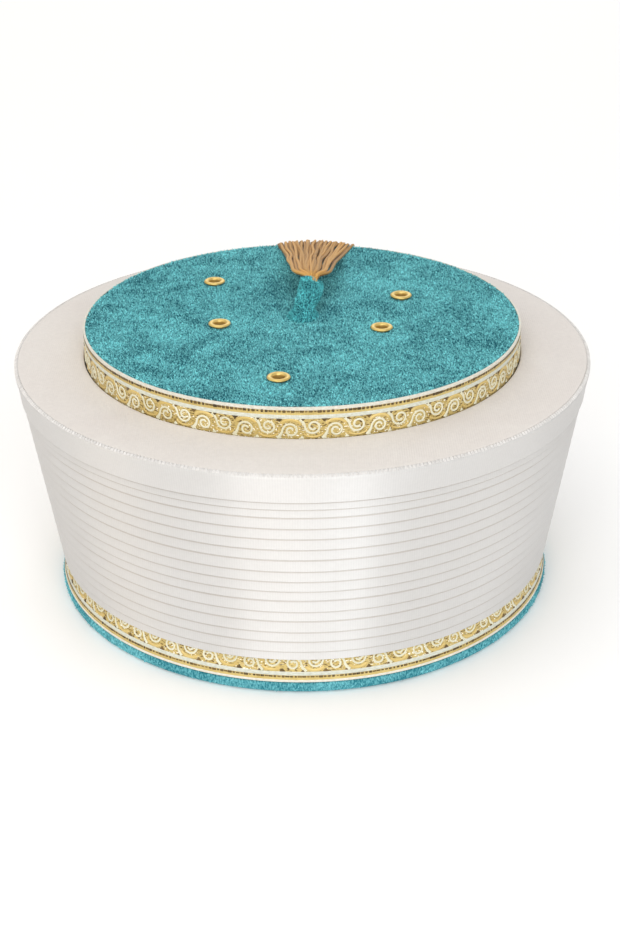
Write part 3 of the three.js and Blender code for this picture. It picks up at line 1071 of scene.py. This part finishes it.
# Repeats round a ring
def makeRollTree():
    # A flat motif, x along and y up, set side by side and rolled round the hat
    tree, given, made = startTree(
        "rollRound", "GeometryNodeTree",
        [("Geometry", "NodeSocketGeometry", None), ("Count", "NodeSocketInt", 10),
         ("Radius", "NodeSocketFloat", 0.1), ("Height", "NodeSocketFloat", 0.0),
         ("Slope", "NodeSocketFloat", 0.0), ("Jitter", "NodeSocketFloat", 0.0),
         ("Material", "NodeSocketMaterial", None)],
        [("Geometry", "NodeSocketGeometry")],
    )
    pitch = calc(tree, "DIVIDE", calc(tree, "MULTIPLY", given["Radius"], turn), given["Count"])
    line = placeNode(tree, "GeometryNodeMeshLine",
                     {"Count": given["Count"], "Offset": joinVector(tree, pitch)}).outputs[0]
    marked = storeOnMesh(tree, line, "shade", randomOf(tree, 0.0, 1.0, 5))
    jitter = joinVector(tree, given["Jitter"], given["Jitter"])
    size = vectorCalc(tree, "MULTIPLY_ADD", randomVector(tree, (1, 1, 0), 9), jitter, (1.0, 1.0, 1.0))
    row = placeNode(tree, "GeometryNodeInstanceOnPoints",
                    {"Points": marked, "Instance": given["Geometry"], "Scale": size}).outputs[0]
    real = placeNode(tree, "GeometryNodeRealizeInstances", {0: row}).outputs[0]
    spot = splitVector(tree, meshPlace(tree))
    angle = calc(tree, "DIVIDE", spot["X"], given["Radius"])
    leaning = calc(tree, "ADD", given["Radius"], calc(tree, "MULTIPLY", spot["Y"], given["Slope"]))
    reach = calc(tree, "ADD", leaning, spot["Z"])
    forward = calc(tree, "MULTIPLY", reach, calc(tree, "COSINE", angle))
    rolled = joinVector(tree, calc(tree, "MULTIPLY", reach, calc(tree, "SINE", angle)),
                        calc(tree, "MULTIPLY", forward, -1.0),
                        calc(tree, "ADD", given["Height"], spot["Y"]))
    return endTree(tree, moveTo(tree, real, rolled), given, made)


rollTree = makeRollTree()


def rollRound(name, motif, count, radius, height, material, slotName, slope=0.0, jitter=0.0):
    piece = addObject(name, motif)
    runNodes(piece, rollTree, {
        "Count": count, "Radius": radius, "Height": height, "Slope": slope, "Jitter": jitter,
        "Material": material,
    })
    print(name, len(piece.data.polygons), "faces")
    return handIn(piece, slotName)


def threadMotif(name, lines, width, rise, sides=6, flip=False):
    # Raised threads along flat lines: each line is [(x, y, share of the width), ...] in millimetres
    points, faces = [], []
    for line in lines:
        line = np.array(line) * (mm, mm, 1)
        if flip:
            line[:, :2] *= -1
        centres = np.c_[line[:, :2], np.zeros(len(line))]
        faces += skinRings(len(line), sides, len(points))
        for centre, share, (tangent, across, up) in zip(centres, line[:, 2], frameAlong(centres)):
            flat = np.array((-tangent[1], tangent[0], 0))
            for side in range(sides):
                angle = turn * side / sides
                lift = np.array((0, 0, rise * (0.3 + 0.7 * math.sin(angle))))
                points.append(centre + width / 2 * share * math.cos(angle) * flat + lift)
    return meshFrom(name, points, faces, 60)


# The woven trims
scrollSet = {
    "reach": 2.85,  # in millimetres, for one scroll
    "turns": 1.42,
    "coil": 0.72,
    "shift": 0.75,
    "lead": 1.65,
    "leadSteps": 8,
    "coilSteps": 33,
    "line": 0.78,
    "raised": 0.3 * mm,
}
archSet = {
    "reach": 3.5,  # in millimetres, for one arch, and its ends in degrees
    "rise": 2.15,
    "inset": 2.6,
    "start": 158,
    "end": 22,
    "steps": 14,
    "line": 0.95,
}
# Each dash is a dark raised thread that stands for painted dark reflection along the gold row
dashSet = {
    # in millimetres along one dash, with its share of the width
    "line": [(-0.6, 0.5), (-0.4, 1), (0, 0.85), (0.35, 1), (0.58, 0.4)],
    "raised": 0.14 * mm,
    "jitter": 0.45,
}
trimBands = {
    # above and below say how far a band passes its node, dashDown how far in its dashes run
    "upper": {"node": "upper_trim", "above": 0.6 * mm, "below": 1.1 * mm, "lean": 0.0,
              "dashDown": 1.45 * mm, "dashWidth": 0.88 * mm},
    "lower": {"node": "lower_trim", "above": 0.0, "below": 0.0, "lean": -0.166,
              "dashDown": 2.15 * mm, "dashWidth": 0.66 * mm},
}


def scrollLines(pitch, values):
    # Two scrolls: the first springs from the pale band and dips, the next from the far edge and arches
    half = trimSet["field"] / 2
    lines = []
    for number, way in ((0, 1), (1, -1)):
        centre, middle = (number + 0.5) * pitch, way * values["shift"]
        line = []
        for step in range(values["leadSteps"]):
            left = 1 - step / values["leadSteps"]
            line.append((centre - values["reach"] - values["lead"] * left**1.6,
                         middle + (way * half - middle) * left, 0.95 + 0.75 * left))
        for step in range(values["coilSteps"] + 1):
            part = step / values["coilSteps"]
            angle = values["turns"] * turn * part
            radius = values["reach"] * (1 - values["coil"] * part**0.9)
            line.append((centre - radius * math.cos(angle), middle - way * radius * math.sin(angle), 0.95))
        lines.append(line)
    for number in (0, 1):
        lines.append([(number * pitch, -half, 2.2), (number * pitch, -half + 0.9, 0.5)])
    return lines


def archLines(pitch, values):
    # A thick arch over each arched scroll, and a slim one under each dipped scroll
    middle = trimSet["field"] / 2 - values["inset"]
    lines = []
    sweep = values["start"] - values["end"]
    for number, way, width in ((0, -1, 0.75), (1, 1, 1.1)):
        line = []
        for step in range(values["steps"] + 1):
            angle = math.radians(values["start"] - sweep * step / values["steps"])
            line.append(((number + 0.5) * pitch + values["reach"] * math.cos(angle),
                         way * (middle + values["rise"] * math.sin(angle)), width))
        lines.append(line)
    return lines


def dartLines(pitch):
    # A dart between each two scrolls, under the pale band
    half = trimSet["field"] / 2
    return [[(number * pitch, half + 0.05, 2.3), (number * pitch, half - 1.0, 0.3)] for number in (0, 1)]


def inFromEdge(name, bottom, top, away):
    # The plain edge is the upper trim's top and the lower trim's bottom
    return bottom + away if name == "lower" else top - away


def makeBand(name, band, bottom, top, face):
    # The band itself: from its plain edge to the far edge of the scroll field, raised zone by zone
    edge, row, pale = trimSet["edge"], trimSet["row"], trimSet["pale"]
    zones = [(0, 0.0), (0.1, 0.12), (edge - 0.08, 0.12), (edge + 0.06, 0.04), (row - 0.06, 0.04),
             (row + 0.08, 0.1), (pale - 0.1, 0.1), (pale + 0.06, 0.0), (8, 0.0), ((top - bottom) / mm, 0.0)]
    outside = []
    for along, lift in zones:
        at = inFromEdge(name, bottom, top, along * mm)
        outside.append((face + lift * mm + band["lean"] * (at - bottom), at))
    if name == "upper":
        outside = outside[::-1]
    lowEnd, highEnd = outside[0][0], outside[-1][0]
    profile = outside + [(highEnd - trimSet["thickness"], top), (lowEnd - trimSet["thickness"], bottom)]
    mesh = turnedMesh(f"{name}_band", profile, trimSet["sides"], smoothAngle=30)
    if name == "upper":
        # The weave is read from the plain edge, which is the upper one here
        layer = mesh.uv_layers["UVMap"].data
        uvs = np.zeros(len(layer) * 2, np.float32)
        layer.foreach_get("uv", uvs)
        uvs[1::2] = top - bottom - uvs[1::2]
        layer.foreach_set("uv", uvs)
    handIn(addObject(f"{name}_band", mesh, trimCloth), "trim", band["node"])


def makeTrim(name, band):
    low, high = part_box(band["node"])
    bottom, top = low.z - band["below"], high.z + band["above"]
    face, lean = high.x - 0.15 * mm, band["lean"]
    makeBand(name, band, bottom, top, face)

    middle = inFromEdge(name, bottom, top, (trimSet["pale"] + trimSet["field"] / 2) * mm)
    at = face + lean * (middle - bottom)
    pairs = round(turn * high.x / (2 * trimSet["pitch"] * mm))
    pitch = turn * at / (2 * pairs) / mm
    for kind, lines, width, material in (
        ("scroll", scrollLines(pitch, scrollSet), scrollSet["line"], whiteThread),
        ("arches", archLines(pitch, archSet), archSet["line"], goldThread),
        ("darts", dartLines(pitch), 1.0, bronzeThread),
    ):
        motif = threadMotif(f"{name}_{kind}", lines, width * mm, scrollSet["raised"], flip=name == "lower")
        rollRound(f"{name}_{kind}", motif, pairs, at, middle, material, "trim", lean)

    # The dashes: dark threads standing for painted dark reflection in the gold row
    dashes = round(turn * high.x / (trimSet["dashPitch"] * mm))
    line = [(along, 0, width) for along, width in dashSet["line"]]
    dash = threadMotif(f"{name}_dashes", [line], band["dashWidth"], dashSet["raised"])
    height = inFromEdge(name, bottom, top, band["dashDown"])
    at = high.x - 0.1 * mm + lean * (height - bottom)
    rollRound(f"{name}_dashes", dash, dashes, at, height, bronzeThread, "trim", lean, dashSet["jitter"])


for name, band in trimBands.items():
    makeTrim(name, band)
print("trims made")


# The loops along the rim
picotSet = {
    "pitch": 1.38 * mm,
    "width": 0.5 * mm,
    "thread": 0.44 * mm,
    "reach": 0.95 * mm,
    "seamGap": 0.85 * mm,
    "lift": 0.12 * mm,
    "heights": (-0.08 * mm, -0.14 * mm, -0.72 * mm),  # of the bend, the shoulders and the ends
    "steps": 8,
}


def makePicots(values):
    # Loops of the ribbon's edge, folded down over its shoulder: x round the hat, y up, z outwards
    seam = wrapHigh.x + values["seamGap"]
    half = values["width"] / 2
    bend, shoulder, end = values["heights"]
    path = [(-half, end, values["reach"]), (-half, shoulder, half)]
    for step in range(1, values["steps"]):
        angle = math.pi * step / values["steps"]
        path.append((-half * math.cos(angle), bend, half - half * math.sin(angle)))
    path += [(half, shoulder, half), (half, end, values["reach"])]
    points, faces = tubeParts(np.array(path), lambda step, angle: values["thread"] / 2, 5)
    mesh = meshFrom("rim_picots", points, faces, 60)
    count = round(turn * seam / values["pitch"])
    return rollRound("rim_picots", mesh, count, seam, rimHigh.z + values["lift"], ribbonThread, "satin")


makePicots(picotSet)


# The eyelets
eyeletSet = {"dome": 0.7 * mm, "flatter": 0.3 * mm, "bore": 2.2 * mm, "barrel": 2.6 * mm, "sides": 48}


def makeEyelet(node, values):
    centre = middleOf(node)
    low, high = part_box(node)
    low, top = low.z, high.z - values["flatter"]
    flange, bore, barrel = eyeletReach, values["bore"], values["barrel"]
    lift = top - values["dome"]
    dome = curveThrough([
        (flange - 0.2 * mm, lift + 0.05 * mm), (flange - 0.12 * mm, lift + 0.2 * mm),
        (flange - 0.5 * mm, top - 0.12 * mm), (flange - 1.05 * mm, top),
        (bore + 0.55 * mm, top - 0.12 * mm), (bore + 0.1 * mm, top - 0.5 * mm), (bore, lift - 0.3 * mm),
    ], 4)
    profile = [
        (bore, low + 0.2 * mm), (bore + 0.25 * mm, low), (flange - 0.7 * mm, low),
        (flange - 0.5 * mm, low + 0.3 * mm), (flange - 0.7 * mm, low + 0.7 * mm),
        (barrel, low + 0.8 * mm), (barrel, lift), (flange - 0.4 * mm, lift + 0.05 * mm),
        *[tuple(p) for p in dome],
    ]
    mesh = turnedMesh(f"{node}_ring", profile, values["sides"], smoothAngle=50)
    for vertex in mesh.vertices:
        vertex.co.x += centre.x
        vertex.co.y += centre.y
    return handIn(addObject(f"{node}_ring", mesh, brass), "brass", node)


for node in eyeletNames:
    makeEyelet(node, eyeletSet)
print("eyelets set")


# The stem
stemSet = {
    # the frame's middle line with its foot pulled a little aside, in millimetres above the crown
    "line": [(0.7, -1.2, -0.6), (0.9, -1.2, 2.0), (2.1, 2.8, 6.0), (3.9, 12.6, 8.2)],
    "spacing": 0.6 * mm,
    "sides": 40,
    "lump": 0.8 * mm,
    "swell": 1.5 * mm,  # at its foot, where it is sewn down
    "waist": 0.75 * mm,
    "scallop": 0.36 * mm,
    "flatten": 0.36,
    "bore": 3.5 * mm,
    "depth": 6,  # how many rings the mouth goes back in
    "tufts": 3300,
}


def stemRadiusAt(share, reach, values):
    # Lumpy, wide at the foot, slim at a third of the way, and drawn in a little at the mouth
    lump = values["lump"] * min(1, max(0, (0.85 - share) / 0.25))
    radius = stemRadius - 0.1 * mm
    radius += lump * noise.noise(Vector(reach * 1.7) + Vector((0, 0, share * 6)))
    radius += values["swell"] * math.exp(-(share / 0.11) ** 2)
    radius -= values["waist"] * math.exp(-((share - 0.3) / 0.2) ** 2)
    return radius * (1 - 0.1 * max(0, (share - 0.94) / 0.06) ** 2)


def makeStem(values):
    line = [np.array((x * mm, y * mm, crownTop + z * mm)) for x, y, z in values["line"]]
    path = evenly(curveThrough(line, 10), values["spacing"])
    steps, sides, depth = len(path), values["sides"], values["depth"]
    route = np.concatenate([path, path[::-1][:depth]])
    frames = frameAlong(path)
    frames = frames + frames[::-1][:depth]
    points = []
    for step, (centre, (tangent, across, up)) in enumerate(zip(route, frames)):
        share = min(step, 2 * steps - 1 - step) / steps
        for side in range(sides):
            angle = turn * side / sides
            flat = 1 - values["flatten"] * min(1, share * 1.15) ** 1.5
            reach = math.cos(angle) * across + flat * math.sin(angle) * up
            radius = stemRadiusAt(share, reach, values) if step < steps else values["bore"]
            lip = values["scallop"] * max(0, (share - 0.75) / 0.25)
            lip = lip * (math.cos(2 * angle + 0.7) * tangent - math.cos(4 * angle) * up)
            points.append(centre + radius * reach + lip)
    mesh = meshFrom("stem_tube", points, skinRings(len(route), sides), 60)
    outside = (steps + 1) * sides
    piece = bearPile(addObject("stem_tube", mesh, stemVelvet),
                     lambda vertex: vertex.index < outside and vertex.co.z > crownTop)
    return piece, path, frames[steps - 1]


stemTube, stemPath, mouthFrame = makeStem(stemSet)
growPile("stem_pile", stemTube, stemSet["tufts"], 13, stemVelvet, 1.2)
handIn(stemTube, "velvet", "velvet_stem")
print("stem made")


# The tassel
tasselSet = {
    "cords": 54,
    "radius": 0.56 * mm,
    "lobes": 0.2,
    "end": 0.7,  # the share of the radius at a cord's ends
    "lay": 2.6 * mm,  # length of one turn of the plies
    "spacing": 0.62 * mm,
    "sides": 7,
    "middle": 5.45 * mm,
    "spread": 16.1 * mm,
    "layers": 3,
    "head": 3.1 * mm,
    "headSides": 84,
    "headFlutes": 14,
    "headShares": (0.5, 0.8, 0.97, 1.0, 0.95, 0.8, 0.5, 0.2),
    "seed": 5,
}


def twistedCord(path, values, first):
    # Two plies twisted together: a tube whose two-lobed section turns as it goes
    twist = turn * values["spacing"] / values["lay"]

    def radiusAt(step, angle):
        taper = 1 if 0 < step < len(path) - 1 else values["end"]
        return taper * values["radius"] * (1 + values["lobes"] * math.cos(2 * (angle - twist * step)))

    return tubeParts(path, radiusAt, values["sides"], first)


# Where the cords run on their way back: the part of the way, the middle and half width across, the
# height above the crown in the middle and at the sides, and the stray, in millimetres
cordRows = [
    (0.03, 3.7, 2.5, 10.9, 10.6, 0.2),
    (0.1, 3.5, 6.3, 10.8, 10.2, 0.3),
    (0.26, 3.7, 7.7, 9.1, 8.3, 0.4),
    (0.44, 3.8, 9.1, 6.9, 6.0, 0.55),
    (0.62, 4.4, 10.9, 4.4, 3.2, 0.5),
    (0.82, 4.8, 13.6, 2.3, 0.7, 0.45),
]


def cordRoute(chance, share, layer, values):
    # Up over the stem's lip, out in a fan, down to the crown and over its back edge
    tangent, across, up = mouthFrame
    mouth = stemPath[-1]
    side = 1 if across[0] > 0 else -1
    rise = up if up[2] > 0 else -up
    pile = (layer - 1) * (1 - 0.6 * share**2)
    # the side cords sink further into the pile at the edge than the middle ones
    sunk = 0.2 - 0.85 * share**2 + 0.28 * pile + chance.uniform(-0.16, 0.16)
    lying = crownTop + values["radius"] + sunk * mm
    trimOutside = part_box("upper_trim")[1].x
    hanging = trimOutside + 0.4 * mm + values["radius"] + 0.55 * mm * layer
    edgeX = values["middle"] + values["spread"] * share
    outward = np.array((edgeX, math.sqrt(trimOutside**2 - edgeX**2), 0)) / trimOutside
    bend = hanging - 1.9 * mm
    crossing = chance.uniform(-0.22, 0.22)
    drop = 0.55 * pile + chance.uniform(-0.25, 0.25)

    def between(part, middle, half, high, low, stray):
        here = share + crossing * (1 - part)
        x = middle + half * here + chance.uniform(-stray, stray)
        y = mouth[1] + part * (outward[1] * hanging - mouth[1])
        return np.array((x * mm, y, crownTop + (high - (high - low) * share**2 + drop) * mm))

    start = mouth + across * (1.4 * share * side) * mm + rise * (0.6 * pile + 0.5) * mm
    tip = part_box("tassel")[0].z + chance.uniform(0, 1.6) * mm
    over = [(bend - 1.5 * mm, lying + 0.15 * mm), (bend + 0.9 * mm, lying - 0.25 * mm),
            (hanging, lying - 2.2 * mm), (hanging + 0.1 * mm, (tip + crownTop) / 2), (hanging, tip)]
    return [
        start - tangent * 3.0 * mm,
        start,
        *[between(*row) for row in cordRows],
        *[(*(outward[:2] * reach), height) for reach, height in over],
    ]


def makeHead(values):
    # The bound head of the tassel, a small knot in the stem's mouth
    tangent, across, up = mouthFrame
    shares, sides, flutes = values["headShares"], values["headSides"], values["headFlutes"]
    path = np.array([stemPath[-1] + tangent * (step * 0.75 - 3.2) * mm for step in range(len(shares))])

    def radiusAt(step, angle):
        return values["head"] * shares[step] * (1 + 0.05 * math.cos(flutes * angle))

    points, faces = tubeParts(path, radiusAt, sides)
    piece = addObject("tassel_head", meshFrom("tassel_head", points, faces, 60), yarn)
    # The grooves between the flutes are darker and the ridges lighter: painted shade
    storeNumber(piece.data, "shade", [0.75 + 0.25 * math.cos(flutes * turn * (index % sides) / sides)
                                      for index in range(len(points))])
    return handIn(piece, "yarn")


def makeTassel(values):
    chance = random.Random(values["seed"])
    points, faces, shades = [], [], []
    for number in range(values["cords"]):
        layer = number % values["layers"]
        row = values["cords"] / values["layers"]
        column = number // values["layers"] + 0.5 + (layer - 1) / 3 + chance.uniform(-0.35, 0.35)
        share = 2 * column / row - 1
        route = cordRoute(chance, share, layer, values)
        path = evenly(curveThrough(route, 8), values["spacing"])
        more, sides = twistedCord(path, values, len(points))
        points += more
        faces += sides
        # Each cord's tone is random, and the deeper layers are darker: painted shade
        shades += [0.6 * chance.random() + 0.2 * layer] * len(more)
    piece = addObject("tassel_cords", meshFrom("tassel_cords", points, faces, 60), yarn)
    storeNumber(piece.data, "shade", shades)
    uvs = np.zeros(len(piece.data.loops) * 2, np.float32)
    vertexOf = np.zeros(len(piece.data.loops), np.int64)
    piece.data.loops.foreach_get("vertex_index", vertexOf)
    uvs[0::2] = vertexOf // values["sides"] * values["spacing"]
    uvs[1::2] = vertexOf % values["sides"] * 0.45 * mm
    piece.data.uv_layers.new(name="UVMap").data.foreach_set("uv", uvs)
    print("tassel_cords", len(faces), "faces")
    return handIn(piece, "yarn", "tassel")


makeTassel(tasselSet)
makeHead(tasselSet)
print("tassel made")


# Stage
stageSet = {
    "floor": 3.0,
    "world": 0.57,
    "sky": (1.0, 0.985, 0.965, 1),
    "lights": [
        # name, azimuth from the front, height angle, distance, width, tall, watts, colour
        ("windowLeft", -10.5, 24, 2.2, 1.2, 1.5, 19.6, (1.0, 0.975, 0.94)),
        ("windowRight", 18.5, 24, 2.2, 0.65, 1.5, 12.0, (0.95, 0.98, 1.0)),
        ("overhead", -70, 76, 3.2, 3.0, 3.0, 27.0, (1.0, 1.0, 1.0)),
        ("leftFill", -80, 25, 2.4, 1.2, 1.2, 4.6, (1.0, 0.74, 0.42)),
        ("rightFill", 85, 25, 2.4, 1.2, 1.2, 2.5, (1.0, 0.96, 0.9)),
        ("backFill", 175, 30, 2.4, 2.0, 1.2, 9.5, (1.0, 0.99, 0.97)),
    ],
}


def makeStage(values):
    half = values["floor"]
    corners = [(-half, -half, 0), (half, -half, 0), (half, half, 0), (-half, half, 0)]
    material, tree, shader = startMaterial("floorPaper", {"Roughness": 0.9, "Specular IOR Level": 0.1})
    tone = driftOf(tree, objectPlace(tree), 2.0, 0.3, (0.975, 0.98, 0.985, 1), (0.99, 0.99, 0.99, 1))
    tree.links.new(tone["Color"], shader["Base Color"])
    addObject("floor", meshFrom("floor", corners, [(0, 1, 2, 3)]), material)
    target = Vector((0, 0, 60 * mm))
    for name, azimuth, height, distance, wide, tall, watts, colour in values["lights"]:
        data = bpy.data.lights.new(name, "AREA")
        data.shape = "RECTANGLE"
        data.size, data.size_y = wide, tall
        data.energy = watts
        data.color = colour
        lamp = bpy.data.objects.new(name, data)
        lamp.visible_camera = False
        bpy.context.scene.collection.objects.link(lamp)
        a, e = math.radians(azimuth), math.radians(height)
        away = Vector((math.sin(a) * math.cos(e), -math.cos(a) * math.cos(e), math.sin(e)))
        lamp.location = target + distance * away
        lamp.rotation_euler = away.to_track_quat("Z", "Y").to_euler()
    world = bpy.data.worlds.new("studio")
    bpy.context.scene.world = world
    world.use_nodes = True
    world.node_tree.nodes["Background"].inputs[0].default_value = values["sky"]
    world.node_tree.nodes["Background"].inputs[1].default_value = values["world"]
    bpy.context.scene.view_settings.view_transform = "Standard"


makeStage(stageSet)
print("stage set")

for piece in bpy.data.objects:
    if piece.type == "MESH" and not piece.hide_render:
        print(piece.name, sum(len(f.vertices) - 2 for f in piece.data.polygons), "triangles")
